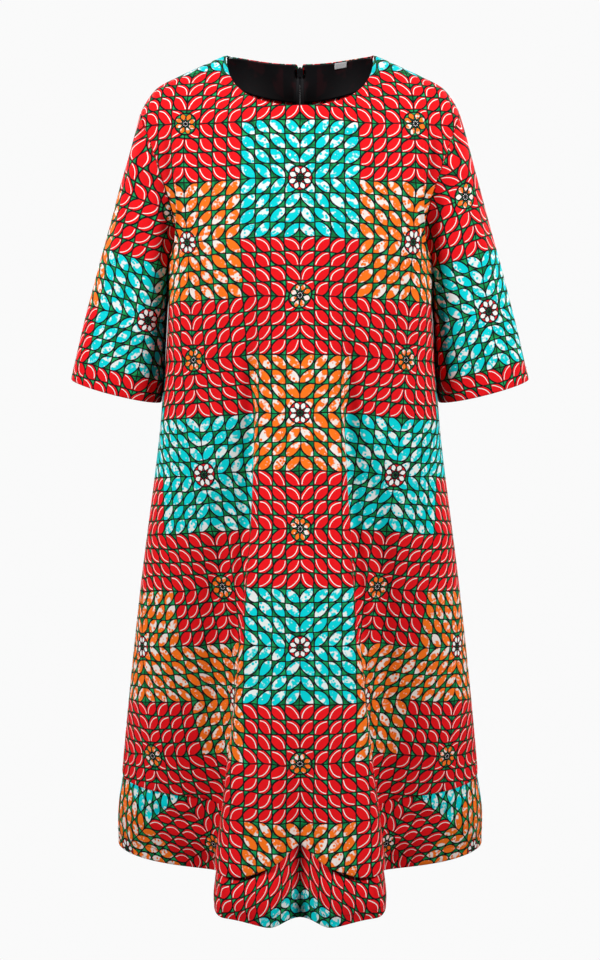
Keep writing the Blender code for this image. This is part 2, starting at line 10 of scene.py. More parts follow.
import bpy
import numpy as np
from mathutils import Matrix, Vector


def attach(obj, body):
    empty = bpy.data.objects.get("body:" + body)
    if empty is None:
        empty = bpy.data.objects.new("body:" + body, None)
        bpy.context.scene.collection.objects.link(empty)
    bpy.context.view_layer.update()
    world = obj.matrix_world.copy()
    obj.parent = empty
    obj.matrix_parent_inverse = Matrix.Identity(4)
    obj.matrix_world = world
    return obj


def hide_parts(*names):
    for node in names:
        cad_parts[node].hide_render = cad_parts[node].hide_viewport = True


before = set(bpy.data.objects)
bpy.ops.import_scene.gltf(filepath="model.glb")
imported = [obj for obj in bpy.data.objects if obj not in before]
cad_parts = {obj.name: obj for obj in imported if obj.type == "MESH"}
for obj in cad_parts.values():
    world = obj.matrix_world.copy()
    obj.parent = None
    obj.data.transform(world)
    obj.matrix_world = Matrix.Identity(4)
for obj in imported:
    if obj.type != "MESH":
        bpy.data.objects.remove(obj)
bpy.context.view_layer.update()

MM = 0.001

# Shape of the solids, which the cloth here follows
CLOTH = 1.5 * MM
LAYER_GAP = 0.4 * MM
TAPE = 1.0 * MM
LINING = 1.0 * MM
SEAM_GAP = 0.3 * MM
ARMHOLE_GAP = 0.9 * MM
UNDERARM = -0.261
HEM = -1.21
FRONT_HEM_DIP = 0.012
NECK_POINT = 0.038
NECK_SHARE = 0.56
Section = namedtuple("Section", "level half_width front back squareness")
SECTIONS = (
    Section(-0.261, 0.1955, 0.13, 0.118, 2.8),
    Section(-0.481, 0.2115, 0.148, 0.13, 2.8),
    Section(-0.802, 0.253, 0.188, 0.162, 2.4),
    Section(-0.998, 0.2755, 0.212, 0.186, 2.3),
    Section(-1.212, 0.2971, 0.235, 0.21, 2.25),
)
Fold = namedtuple("Fold", "top_angle hem_angle hem_radius")
FOLD_START = -0.217
FOLD_GROWTH = 1.35
FOLD_DRIFT = 2.0
FRONT_FOLDS = (
    Fold(0, 0, 0.305),
    Fold(17, 23.3, 0.285),
    Fold(31, 51.6, 0.16),
    Fold(91, 95.7, 0.3015),
)
BACK_FOLDS_LEFT = (Fold(121, 125.6, 0.192), Fold(141, 150.8, 0.267), Fold(180, 180, 0.228))
BACK_FOLDS_RIGHT = (Fold(127, 133.5, 0.177), Fold(149, 160.1, 0.269), Fold(180, 180, 0.228))
NOTCH_START = -0.762
NOTCH_DEPTH = 0.054
NOTCH_ANGLE = 5.4
NOTCH_GROWTH = 1.3
NECK_HALF_WIDTH = 0.109
NECK_ROUNDNESS = 2.4
FRONT_NECK = (0.077, 0.095, 2 / NECK_ROUNDNESS)
BACK_NECK = (0.0075, 0.084, 4.5)
NECK_PLAN_ROUNDNESS = 2.0
SHOULDER_TIP = 0.2396
SHOULDER_SHARES = (0, 0.2, 0.4, 0.6, 0.8, 0.92, 1)
SHOULDER_LEVELS = (0.038, 0.0272, 0.0157, 0.004, -0.0099, -0.0278, -0.0466)
# How the cloth arrives at the top: share of the way to the side, then outward, over and up
SIDE_ARRIVAL = (
    (0.56, -0.05, 0.19, 0),
    (0.75, 0, 0.24, 0),
    (1, 0, 0.26, 0),
)
FRONT_ARRIVAL = (
    (0, 0, 0.07, 0.2),
    (0.3, -0.02, 0.1, 0.16),
    (0.48, -0.06, 0.15, 0.06),
    *SIDE_ARRIVAL,
)
BACK_ARRIVAL = (
    (0, 0, 0.12, 0.24),
    (0.3, -0.02, 0.14, 0.18),
    (0.48, -0.06, 0.16, 0.06),
    *SIDE_ARRIVAL,
)
ARMHOLE_START = (-0.13, 0.24, 0.02)
ARMHOLE_REACH = 0.62
ARMHOLE_INNER_SHARE = 0.97
JUST_BEHIND_SIDE = 90.000001
CUFF_OUTER = (0.3526, -0.4475)
CUFF_TILT = math.radians(14.6)
CUFF_WIDTH = 0.1437
CUFF_DEPTH = 0.118
CUFF_FORWARD = 0.008
SLEEVE_BULGE = 3 * MM
UNDERARM_BULGE = 2.2 * MM
SLEEVE_START_TOP = (0.1, -0.36)
SLEEVE_START_UNDERARM = (0.053, 0.09)
# The band's seam: angle, level and inset
FRONT_SEAM = (
    (0, -1.107, 6 * MM),
    (10.5, -1.137, 8 * MM),
    (21, -1.156, 9 * MM),
    (31, -1.154, 9 * MM),
    (43.5, -1.116, 5 * MM),
    (55, -1.092, 3 * MM),
    (90, -1.089, 2.6 * MM),
)
BACK_SEAM = (
    (90, -1.089, 2.6 * MM),
    (128, -1.09, 3 * MM),
    (155, -1.125, 8 * MM),
    (180, -1.104, 6 * MM),
)
BAND_LAP = 12 * MM
BAND_PUFF = 4.5 * MM
BAND_PUFF_SHARE = 0.91
BACK_EDGE_DEPTHS = (0, 0.003, 0.006, 0.011, 0.017, 0.025)
BACK_EDGE_GAPS = (5.2 * MM, 3.2 * MM, 2.2 * MM, 2.0 * MM, 0.5 * MM, SEAM_GAP / 2)
ZIP_END = -0.46
TAPE_WIDTH = 11 * MM
TAPE_TOP_DEPTH = 0.018
LINING_EDGE = 5 * MM
LABEL_SIZE = (0.0195, 0.0122)
LABEL_CENTRE = 0.0645
LABEL_TOP = 0.998
ZIP_REACH = 4
TAPE_INSET = CLOTH + LAYER_GAP
LINING_INSET = TAPE_INSET + TAPE + LAYER_GAP
LABEL_INSET = LINING_INSET + LINING + LAYER_GAP

# The finer cloth here
SHELL = 0.9 * MM
NECK_COLUMNS = 28
SHOULDER_COLUMNS = 21
SKIRT_ROWS = 56
UPPER_ROWS = 42
SLEEVE_ROUNDS = 34
SLEEVE_ROWS = 44
BAND_ROWS = 13
EDGE_SHARES = (0.55, 0.86)
FLATTEN_ROUNDS = 16
FIRST_STEPS = 500
LATER_STEPS = 120
SETTLED = 1e-16
EDGE_ROLL = (0.12 * MM, 0.75 * MM)
INNER_SHELL = 0.7 * MM
TAPE_SHELL = 0.8 * MM


def smoothstep(value):
    value = np.clip(value, 0.0, 1.0)
    return value * value * (3 - 2 * value)


def eased(x, xs, ys):
    """A curve through the points (xs, ys) with no overshoot, flat at each point where it turns."""
    if x <= xs[0]:
        return ys[0]
    for k in range(len(xs) - 1):
        if x <= xs[k + 1]:
            step = xs[k + 1] - xs[k]
            start = limited_slope(xs, ys, k) * step
            end = limited_slope(xs, ys, k + 1) * step
            return float(hermite((x - xs[k]) / step, ys[k], start, ys[k + 1], end))
    return ys[-1]


def limited_slope(xs, ys, k):
    if k in (0, len(xs) - 1):
        near = (0, 1) if k == 0 else (-2, -1)
        return (ys[near[1]] - ys[near[0]]) / (xs[near[1]] - xs[near[0]])
    before = (ys[k] - ys[k - 1]) / (xs[k] - xs[k - 1])
    after = (ys[k + 1] - ys[k]) / (xs[k + 1] - xs[k])
    if before * after <= 0:
        return 0.0
    return 2 * before * after / (before + after)


def hermite(t, start, start_slope, end, end_slope):
    return (
        (2 * t**3 - 3 * t**2 + 1) * start
        + (t**3 - 2 * t**2 + t) * start_slope
        + (3 * t**2 - 2 * t**3) * end
        + (t**3 - t**2) * end_slope
    )


def section_radius(angle, level):
    levels = [-row.level for row in SECTIONS]
    names = ("half_width", "front" if abs(angle) <= 90 else "back", "squareness")
    columns = ([getattr(row, name) for row in SECTIONS] for name in names)
    half_width, depth, power = (eased(-level, levels, values) for values in columns)
    across = abs(math.sin(math.radians(angle))) / half_width
    along = abs(math.cos(math.radians(angle))) / depth
    return (across**power + along**power) ** (-1 / power)


def fold_offset(angle, level):
    fall = max((FOLD_START - level) / (FOLD_START - HEM), 0.0)
    folds = FRONT_FOLDS + (BACK_FOLDS_LEFT if angle > 0 else BACK_FOLDS_RIGHT)
    angles = [fold.top_angle + (fold.hem_angle - fold.top_angle) * fall**FOLD_DRIFT for fold in folds]
    offsets = [fold.hem_radius - section_radius(fold.hem_angle, HEM) for fold in folds]
    size = abs(angle)
    for k in range(len(folds) - 1):
        if size <= angles[k + 1]:
            break
    blend = smoothstep((size - angles[k]) / (angles[k + 1] - angles[k]))
    return (offsets[k] + (offsets[k + 1] - offsets[k]) * blend) * fall**FOLD_GROWTH


def notch_offset(angle, level):
    fall = max((NOTCH_START - level) / (NOTCH_START - HEM), 0.0)
    return -NOTCH_DEPTH * fall**NOTCH_GROWTH * math.exp(-((angle / NOTCH_ANGLE) ** 2))


def body_point(angle, level):
    radius = section_radius(angle, level) + fold_offset(angle, level) + notch_offset(angle, level)
    turn = math.radians(angle)
    return np.array((radius * math.sin(turn), -radius * math.cos(turn), level))


def shared(angle):
    """The side that an angle is on, and its share of the way from the centre to the side seam."""
    side = 1 if angle >= 0 else -1
    return side, abs(angle) / 90 if abs(angle) <= 90 else (180 - abs(angle)) / 90


def top_point(angle, front):
    """The neckline, then the shoulder seam, from the centre to the armhole."""
    side, share = shared(angle)
    over = -1 if front else 1
    if share <= NECK_SHARE:
        turn = share / NECK_SHARE * math.pi / 2
        x = NECK_HALF_WIDTH * math.sin(turn) ** (2 / NECK_ROUNDNESS)
        drop, depth, fall = FRONT_NECK if front else BACK_NECK
        cosine = max(math.cos(turn), 0.0)
        z = NECK_POINT - drop * cosine**fall
        y = over * (SEAM_GAP / 2 + depth * cosine ** (2 / NECK_PLAN_ROUNDNESS))
    else:
        along = (share - NECK_SHARE) / (1 - NECK_SHARE)
        x = NECK_HALF_WIDTH + (SHOULDER_TIP - NECK_HALF_WIDTH) * along
        z = eased(along, SHOULDER_SHARES, SHOULDER_LEVELS)
        y = over * SEAM_GAP / 2
    return np.array((side * x, y, z))


def upper_point(angle, rise, front):
    """The body from the underarm (rise 0) to the neckline or shoulder seam (rise 1)."""
    side, share = shared(angle)
    over = 1 if front else -1
    start = body_point(angle, UNDERARM)
    end = top_point(angle, front)
    length = np.linalg.norm(end - start)
    step = 1 * MM
    start_slope = (start - body_point(angle, UNDERARM - step)) / step * length
    armhole = np.array((side * ARMHOLE_START[0], -over * ARMHOLE_START[1], ARMHOLE_START[2]))
    near_armhole = smoothstep((share - ARMHOLE_REACH) / (1 - ARMHOLE_REACH))
    start_slope = start_slope * (1 - near_armhole) + armhole * near_armhole
    shares, *columns = zip(*(FRONT_ARRIVAL if front else BACK_ARRIVAL))
    end_slope = [eased(share, shares, values) for values in columns]
    return hermite(rise, start, start_slope, end, np.array(end_slope) * (side, over, 1))


def seam_value(angle, name):
    angles, levels, insets = zip(*(FRONT_SEAM if abs(angle) <= 90 else BACK_SEAM))
    return eased(abs(angle), angles, levels if name == "level" else insets)


def panel_point(angle, height, front):
    """A point of the body: height -1 is the skirt's lower edge, 0 the underarm and 1 the top edge."""
    if height <= 0:
        return body_point(angle, UNDERARM + (UNDERARM - seam_value(angle, "level")) * height)
    return upper_point(angle, height, front)


def outward(point_at, angle, height):
    turn = 0.05
    step = 0.001
    across = point_at(angle + turn, height) - point_at(angle - turn, height)
    up = point_at(angle, height + step) - point_at(angle, height - step)
    normal = np.cross(across, up)
    return normal / np.linalg.norm(normal)


def back_outward(angle, height):
    return outward(lambda a, h: panel_point(a, h, False), angle, height)


def back_edge_gap(angle, height):
    top = panel_point(angle, 1, False)
    depth = np.linalg.norm(top - panel_point(angle, height, False)) if height > 0 else 1.0
    return eased(depth, BACK_EDGE_DEPTHS, BACK_EDGE_GAPS)


def back_column_length():
    return np.linalg.norm(panel_point(180, 1, False) - panel_point(180, 0, False))


def inner_point(side, across, height, inset):
    """A point inside the back at a distance across from its zip edge."""
    near = panel_point(side * (180 - ZIP_REACH), height, False)
    angle = 180 - ZIP_REACH * across / abs(near[0])
    return inside_back(side * angle, height, inset)


def armhole_edge(side, rise, front):
    """A point of the armhole, moved off the body's edge by the gap, in line with the body's cloth."""
    inner = 90 * ARMHOLE_INNER_SHARE
    angle, inner = (90, inner) if front else (JUST_BEHIND_SIDE, 180 - inner)
    edge = upper_point(side * angle, rise, front)
    step = 0.01
    above = upper_point(side * angle, min(rise + step, 1), front)
    below = upper_point(side * angle, max(rise - step, 0), front)
    along = (above - below) / np.linalg.norm(above - below)
    beyond = edge - upper_point(side * inner, rise, front)
    beyond -= along * np.dot(beyond, along)
    return edge + beyond / np.linalg.norm(beyond) * ARMHOLE_GAP


def cuff_point(side, turn):
    inward = np.array((-math.cos(CUFF_TILT), 0.0, -math.sin(CUFF_TILT)))
    centre = np.array((CUFF_OUTER[0], -CUFF_FORWARD, CUFF_OUTER[1])) + inward * CUFF_WIDTH / 2
    point = centre - inward * math.cos(turn) * CUFF_WIDTH / 2
    point[1] -= math.sin(turn) * CUFF_DEPTH / 2
    return point * np.array((side, 1, 1))


def hem_level(angle):
    return HEM - FRONT_HEM_DIP * max(math.cos(math.radians(angle)), 0.0) ** 2


def band_point(angle, fall):
    """A point of the hem band: fall 0 is its top edge, lapped by the skirt, and 1 the hem."""
    seam = seam_value(angle, "level")
    hem = hem_level(angle)
    level = seam + BAND_LAP + (hem - seam - BAND_LAP) * fall
    point = body_point(angle, level)
    normal = outward(body_point, angle, level)
    share_below = max((seam - level) / (seam - hem), 0.0)
    puff = BAND_PUFF * math.sin(math.pi * min(share_below / BAND_PUFF_SHARE, 1.0))
    return point - normal * (seam_value(angle, "inset") - puff)


# Soft troughs (depth above 0) and ridges (below 0): points of angle and level, or on a sleeve of its turn
# and share of its length, then how deep and how wide, in mm
ANGLE_LENGTH = 0.0036
FRONT_CREASES = (
    (((30, -0.3), (29, -0.45), (29, -0.62), (30, -0.8), (34, -1.02), (38, -1.14)), 6.5, 11),
    (((24.5, -0.33), (23, -0.5), (22, -0.7), (24, -0.92), (28, -1.12)), -3, 9),
    (((33, -0.52), (37, -0.72), (42, -0.93), (46, -1.07)), -8, 15),
    (((41, -0.08), (38, -0.2), (33, -0.36)), 2.2, 14),
    (((72, -0.012), (75, -0.08), (76.5, -0.15), (77.5, -0.21), (79, -0.27), (80, -0.36)), -6, 8),
    (((79, -0.03), (82, -0.09), (84, -0.15), (85, -0.22), (85, -0.27), (84, -0.34)), 5, 8),
    (((64, -0.22), (58, -0.34), (55, -0.5)), 1.8, 16),
    (((12, -0.42), (11, -0.6), (12, -0.78)), 1.3, 10),
    (((5.9, -0.2), (6.3, -0.34), (5.8, -0.5), (6.6, -0.66)), -2, 4.5),
    (((68, -0.62), (70, -0.82), (67, -1.02)), 2.6, 22),
    (((57, -0.66), (60, -0.86), (60, -1.04)), 3, 18),
    (((44, -0.52), (47, -0.74), (50, -0.95), (51, -1.07)), 2.8, 15),
    (((7, -0.8), (8, -0.96), (9, -1.09)), -2, 9),
)
BACK_CREASES = (
    (((118, -0.3), (121, -0.55), (124, -0.8), (126, -1.04)), 5, 13),
    (((139, -0.36), (143, -0.6), (147, -0.86), (150, -1.05)), -2.6, 12),
    (((106, -0.012), (105, -0.09), (103, -0.17), (101, -0.25), (100, -0.34)), -4.5, 9),
    (((99, -0.04), (97, -0.12), (95, -0.21), (95, -0.29)), 3.6, 8),
    (((128, -0.1), (132, -0.22), (130, -0.36)), 2, 15),
    (((165, -0.4), (160, -0.47), (150, -0.52)), 1.8, 9),
    (((166, -0.56), (163, -0.76), (165, -0.98)), 2.4, 14),
    (((110, -0.6), (112, -0.82), (110, -1.03)), -2.4, 20),
)
BAND_CREASES = (
    (((27, -1.17), (31, -1.2)), 4, 14),
    (((47, -1.12), (52, -1.19)), -3, 14),
    (((50, -1.112), (60, -1.1), (68, -1.109), (79, -1.099)), -6.5, 6),
    (((54, -1.128), (66, -1.136), (80, -1.122)), 4.5, 8),
    (((70, -1.14), (73, -1.2)), 3, 16),
    (((112, -1.12), (115, -1.19)), 3, 15),
    (((135, -1.13), (139, -1.2)), -3, 14),
)
SLEEVE_CREASES = (
    (((95, 0.04), (70, 0.16), (52, 0.3)), 2.6, 11),
    (((60, 0.03), (48, 0.14), (42, 0.26)), -2, 10),
    (((104, 0.4), (84, 0.52), (70, 0.66), (66, 0.82)), 2, 13),
    (((20, 0.3), (28, 0.48), (24, 0.7)), 1.6, 15),
    (((-92, 0.05), (-72, 0.18), (-60, 0.34)), 2.4, 12),
    (((-100, 0.42), (-80, 0.6), (-74, 0.84)), 2, 14),
    (((-30, 0.3), (-38, 0.55), (-34, 0.8)), -1.8, 14),
)
BODY_SCALE = (ANGLE_LENGTH, 1.0)
SLEEVE_SCALE = (0.00115, 0.41)
RIGHT_SHARE = 0.86
CREASE_FADE_IN = 0.28
CREASE_FADE_OUT = 0.22

# A slight unevenness: waves in 1/m along the width and the length, and how high, in mm
RIPPLES = ((38, 9, 0.45), (21, -26, 0.4), (-54, 17, 0.22), (71, 43, 0.15), (13, 61, 0.22), (95, -22, 0.12))
SLEEVE_RIPPLE = 0.8

# How far from its seams and edges the cloth lies calm, in degrees, metres or shares
SIDE_CALM = 7
EDGE_CALM = 0.06
ZIP_CALM = 6
LINED_FROM = 127
LINED_LEVEL = -0.045
LINED_CALM = 0.05
SLEEVE_UNDERSIDE = 137
SLEEVE_SIDE_CALM = 45
SLEEVE_END_CALM = 0.05
BAND_SIDE_CALM = 5
BAND_CALM = 0.25
BAND_TOP_CALM = 0.12
BAND_HEM_FREE = 0.35

# Flat cuts: where the print starts on each piece, in metres
FRONT_START = 0.065
BACK_START = (0.0825, 0.02)
SLEEVE_START = (0.03, 0.05)
BAND_START = 0.012
BAND_CUT_RADIUS = 0.57

# The inside and the sewing
LINING_ANGLES = (133.2, 176.4)
LINING_BOTTOM = 0.778
LINING_TOP = 1.0006
LINING_TOP_FALL = 0.014
LINING_FALL_ANGLE = 11
LINING_COLUMNS = 22
LINING_ROWS = 12
TAPE_ROWS = 14
TAPE_COLUMNS = (TAPE_WIDTH, TAPE_WIDTH / 2, 1 * MM)
LABEL_ROWS = 5
LABEL_COLUMNS = 7
TOOTH_PITCH = 1.6 * MM
TOOTH_SIZE = (1.1 * MM, 1.0 * MM, 2.4 * MM)
TOOTH_STEP = 0.55 * MM
COIL_INSET = TAPE_INSET + TAPE + 0.35 * MM
COIL_TOP_DEPTH = TAPE_TOP_DEPTH + 4 * MM
SMALL_TAPER = (0.7, 1.0, 0.7)
STITCH_PITCH = 4.2 * MM
STITCH_SIZE = (2.6 * MM, 0.4 * MM, 0.5 * MM)
STITCH_RISE = 0.05 * MM
HEM_STITCH = 20 * MM
BAND_HEIGHT = 0.11
HEM_POINTS = 150

# The print: blocks in metres, then shares of a leaf's cell and of a block
BLOCK = 0.172
LEAVES = 8
LEAF_RADIUS = 1.05
RED_LEAF_EXTRA = 0.07
LINE = 0.058
RED_ARC = 0.15
FLOWER = 0.098
FLOWER_HEART = 0.03
PETALS = 8
PETAL_FOOT = 0.028
PETAL_WIDTH = 0.46
FINE_LINE = 0.005
WOBBLE = 0.045
WEAVE = 1.1 * MM
RED = (0.871, 0.008, 0.012)
DEEP_RED = (0.7, 0.003, 0.01)
GREEN = (0.01, 0.376, 0.11)
DARK_GREEN = (0.0, 0.13, 0.032)
TURQUOISE = (0.0, 0.68, 0.716)
ORANGE = (1.0, 0.19, 0.012)
WHITE = (0.9, 0.9, 0.87)
BLACK = (0.008, 0.007, 0.01)

# The small pieces' colours
# The lining's near-black and faint dark red are painted shade: the print's inner face in deep shade.
PAINTED_SHADE_BLACK = (0.0025, 0.002, 0.003)
PAINTED_SHADE_RED = (0.022, 0.003, 0.005)
TAPE_TINTS = ((0.012, 0.012, 0.014), (0.02, 0.02, 0.023))
LABEL_TINTS = ((0.66, 0.67, 0.68), (0.52, 0.53, 0.54))
NYLON_TINTS = ((0.009, 0.009, 0.011), (0.024, 0.024, 0.028))
ENAMEL_TINTS = ((0.01, 0.01, 0.012), (0.03, 0.03, 0.033))

# The studio
CAMERA_PLACE = (0.0, -2.6, -0.1506)
CAMERA_TILT = math.radians(9.967)
LENS = 63.375
SENSOR = 36.0
LIGHT_AIM = (0, 0, -0.6)
FLOOR_LEVEL = -1.62
FLOOR_SIZE = 60
BACKDROP = 0.955
FLOOR_GLOW = 0.03
WORLD_GLOW = 0.09
# Name, place, size and power
LIGHTS = (
    ("left", (-2.6, -1.75, 1.2), 0.8, 117.0),
    ("right", (2.6, -1.75, 1.2), 0.8, 113.0),
    ("behind_left", (-2.0, 2.8, 1.2), 1.2, 70.0),
    ("behind_right", (2.0, 2.8, 1.2), 1.2, 70.0),
)


def measured(path):
    """The lengths of a path's steps, and the length travelled at each of its points."""
    steps = np.linalg.norm(np.diff(path, axis=0), axis=1)
    return steps, np.concatenate([[0], np.cumsum(steps)])


def crease_offset(across, levels, creases, scale):
    """How far creases move each point in (-) or out (+); scale turns both coordinates into metres."""
    moved = np.zeros_like(levels)
    scale = np.array(scale)
    here = np.stack([across, levels], axis=-1) * scale
    for points, depth, width in creases:
        path = np.array(points) * scale
        steps, travelled = measured(path)
        nearest = np.full(levels.shape, np.inf)
        place = np.zeros_like(levels)
        for k, step in enumerate(steps):
            way = path[k + 1] - path[k]
            share = np.clip(((here - path[k]) @ way) / step**2, 0, 1)
            gap = np.linalg.norm(here - path[k] - share[..., None] * way, axis=-1)
            closer = gap < nearest
            nearest = np.where(closer, gap, nearest)
            place = np.where(closer, (travelled[k] + share * step) / travelled[-1], place)
        fade = smoothstep(place / CREASE_FADE_IN) * smoothstep((1 - place) / CREASE_FADE_OUT)
        moved -= depth * MM * fade * np.exp(-((nearest / (width * MM)) ** 2))
    return moved


def ripple(across, levels, seed):
    """A slight unevenness, as hanging cotton has, from two coordinates in metres."""
    return sum(
        size * MM * np.sin(along * across + down * levels + seed * (1.7 + k) + k * 2.1)
        for k, (along, down, size) in enumerate(RIPPLES)
    )


def unit(vectors):
    return vectors / np.linalg.norm(vectors, axis=-1, keepdims=True)


def surface_normals(points, closed=False):
    """Unit normals, out of the body, of a grid of points."""
    if closed:
        wrapped = np.concatenate([points[:, -1:], points, points[:, :1]], axis=1)
        across = (wrapped[:, 2:] - wrapped[:, :-2]) / 2
    else:
        across = np.gradient(points, axis=1)
    up = np.gradient(points, axis=0)
    return unit(np.cross(across, up))


def spread(edges_across, edges_up):
    """What the edges of a grid bring to its points: in at their far end and out at their near one."""
    rows, width = edges_up.shape[0] + 1, edges_across.shape[1] + 1
    total = np.zeros((rows, width), complex)
    total[:, 1:] += edges_across
    total[:, :-1] -= edges_across
    total[1:] += edges_up
    total[:-1] -= edges_up
    return total


def settle(flat, wanted, weight_across, weight_up, steps):
    """Conjugate gradient steps towards the points whose edges are nearest those wanted."""

    def pull(points):
        return spread(weight_across * np.diff(points, axis=1), weight_up * np.diff(points, axis=0))

    left = wanted - pull(flat)
    way = left.copy()
    size = np.vdot(left, left).real
    for _ in range(steps):
        pulled = pull(way)
        step = size / max(np.vdot(way, pulled).real, SETTLED**2)
        flat = flat + step * way
        left = left - step * pulled
        new_size = np.vdot(left, left).real
        if new_size < SETTLED:
            break
        way = left + (new_size / size) * way
        size = new_size
    return flat


def flatten(points, centre):
    """Lays a grid flat, its centre column upright, each face as near its true shape as the rest allow.

    Flat points are complex numbers. Each face has its own turn, and an edge of two faces weighs double.
    """
    steps_across, steps_up = np.diff(points, axis=1), np.diff(points, axis=0)
    low, high, left, right = steps_across[:-1], steps_across[1:], steps_up[:, :-1], steps_up[:, 1:]
    across = unit(low + high)
    up = left + right
    up = unit(up - np.sum(up * across, axis=-1, keepdims=True) * across)
    low, high, left, right = (
        np.sum(edge * across, axis=-1) - 1j * np.sum(edge * up, axis=-1)
        for edge in (low, high, left, right)
    )
    rows, width = points.shape[:2]
    weight_across = np.full((rows, width - 1), 2.0)
    weight_up = np.full((rows - 1, width), 2.0)
    weight_across[[0, -1]] = 1.0
    weight_up[:, [0, -1]] = 1.0
    turn = np.exp(-1j * np.arcsin(np.clip(across[..., 2], -1, 1)))
    flat = np.zeros((rows, width), complex)
    for round_number in range(FLATTEN_ROUNDS):
        edges_across = np.zeros((rows, width - 1), complex)
        edges_up = np.zeros((rows - 1, width), complex)
        edges_across[:-1] += turn * low
        edges_across[1:] += turn * high
        edges_up[:, :-1] += turn * left
        edges_up[:, 1:] += turn * right
        steps = FIRST_STEPS if round_number == 0 else LATER_STEPS
        flat = settle(flat, spread(edges_across, edges_up), weight_across, weight_up, steps)
        across_now, up_now = np.diff(flat, axis=1), np.diff(flat, axis=0)
        turn = np.conj(low) * across_now[:-1] + np.conj(high) * across_now[1:]
        turn += np.conj(left) * up_now[:, :-1] + np.conj(right) * up_now[:, 1:]
        turn /= np.abs(turn)
    upright = flat[0, centre] - flat[-1, centre]
    flat = (flat - flat[-1, centre]) * (1j * np.abs(upright) / upright)
    return flat.real, flat.imag


def with_edges(grid, axis):
    """Adds two rows or columns close to each of two edges, so that they can roll over."""
    grid = np.moveaxis(grid, axis, 0)
    first = [grid[0] + (grid[1] - grid[0]) * (1 - share) for share in reversed(EDGE_SHARES)]
    last = [grid[-2] + (grid[-1] - grid[-2]) * share for share in EDGE_SHARES]
    grid = np.concatenate([grid[:1], first, grid[1:-1], last, grid[-1:]])
    return np.moveaxis(grid, 0, axis)


def roll_edges(points, normals, sides=("low", "high", "left", "right")):
    """Turns the named edges of a grid a little inwards."""
    moved = np.zeros(points.shape[:2])
    edges = {"low": moved, "high": moved[::-1], "left": moved.T, "right": moved.T[::-1]}
    for side in sides:
        for k, roll in enumerate(reversed(EDGE_ROLL)):
            edges[side][k] = np.maximum(edges[side][k], roll)
    return points - normals * moved[..., None]


def cloth_object(name, points, flats, material, thickness=SHELL, closed=False, flip=False):
    """A thin shell on a grid of points; flats is (s, t) at each point, with one more column on a tube."""
    rows, width = points.shape[:2]
    faces, corners = [], []
    for row in range(rows - 1):
        for k in range(width if closed else width - 1):
            around = [(row, k), (row, k + 1), (row + 1, k + 1), (row + 1, k)]
            if flip:
                around.reverse()
            faces.append([up * width + across % width for up, across in around])
            corners.extend(around)
    obj = mesh_object(name, points.reshape(-1, 3).tolist(), faces, material)
    mesh = obj.data
    up, across = np.array(corners).T
    values = np.stack([flat[up, across] for flat in flats], axis=1).astype(np.float32)
    mesh.uv_layers.new(name="cloth").data.foreach_set("uv", values.ravel())
    mesh.update()
    for polygon in mesh.polygons:
        polygon.use_smooth = True
    finer = obj.modifiers.new("Finer", "SUBSURF")
    finer.levels = finer.render_levels = 1
    finer.boundary_smooth = "PRESERVE_CORNERS"
    shell = obj.modifiers.new("Shell", "SOLIDIFY")
    shell.thickness = thickness
    shell.offset = -1.0
    return obj


def mesh_object(name, points, faces, material):
    mesh = bpy.data.meshes.new(name)
    mesh.from_pydata(points, [], faces)
    mesh.materials.append(material)
    obj = bpy.data.objects.new(name, mesh)
    bpy.context.scene.collection.objects.link(obj)
    return obj


def half_angles():
    """Angles from the centre to the side seam, with the neck point on a column."""
    neck = 90 * NECK_SHARE
    margin = math.degrees(SEAM_GAP / 2 / section_radius(90, UNDERARM))
    return np.concatenate([
        np.linspace(0, neck, NECK_COLUMNS + 1),
        np.linspace(neck, 90 - margin, SHOULDER_COLUMNS + 1)[1:],
    ])


def panel_heights():
    return np.concatenate([np.linspace(-1, 0, SKIRT_ROWS + 1), np.linspace(0, 1, UPPER_ROWS + 1)[1:]])


def panel_points(angles, front):
    """Points of a body panel, from its lowest row up."""
    heights = panel_heights()
    return np.array([[panel_point(angle, height, front) for angle in angles] for height in heights])


def crease_panel(points, angles, creases, seed):
    """Creases and a slight unevenness on a panel, calm at its seams and edges."""
    every = np.broadcast_to(angles, points.shape[:2])
    sizes = np.abs(every)
    levels = points[..., 2]
    offset = crease_offset(sizes, levels, creases, BODY_SCALE)
    offset *= np.where(every >= 0, 1.0, RIGHT_SHARE)
    offset += ripple(every * ANGLE_LENGTH, levels, seed)
    rows = np.linspace(0, 1, len(points))[:, None]
    seam = np.array([[seam_value(angle, "level") for angle in angles]])
    calm = smoothstep(np.abs(sizes - 90) / SIDE_CALM)
    calm *= smoothstep((levels - seam) / EDGE_CALM) * smoothstep((1 - rows) / EDGE_CALM)
    if creases is BACK_CREASES:
        under_lining = smoothstep((LINED_LEVEL - levels) / LINED_CALM)
        calm *= smoothstep((180 - sizes - ZIP_REACH) / ZIP_CALM)
        calm *= np.where(sizes > LINED_FROM, under_lining, 1.0)
    return points + surface_normals(points) * (offset * calm)[..., None]


def finish_panel(name, points, flats, material):
    flats = [with_edges(with_edges(flat, 0), 1) for flat in flats]
    points = with_edges(with_edges(points, 0), 1)
    points = roll_edges(points, surface_normals(points))
    return cloth_object(name, points, flats, material)


def build_front(material):
    half = half_angles()
    angles = np.concatenate([-half[:0:-1], half])
    points = panel_points(angles, True)
    s, t = flatten(points, len(half) - 1)
    points = crease_panel(points, angles, FRONT_CREASES, 0.0)
    return finish_panel("dress_front", points, (s, t + FRONT_START), material)


def build_back(side, name, material):
    half = half_angles()
    angles = 180 - half[::-1] if side > 0 else half - 180
    centre = len(angles) - 1 if side > 0 else 0
    points = panel_points(angles, False)
    s, t = flatten(points, centre)
    points = crease_panel(points, angles, BACK_CREASES, 2.0 + side)
    points[:, centre, 0] = [side * back_edge_gap(side * 180, height) for height in panel_heights()]
    return finish_panel(name, points, (s + BACK_START[0], t + BACK_START[1]), material)


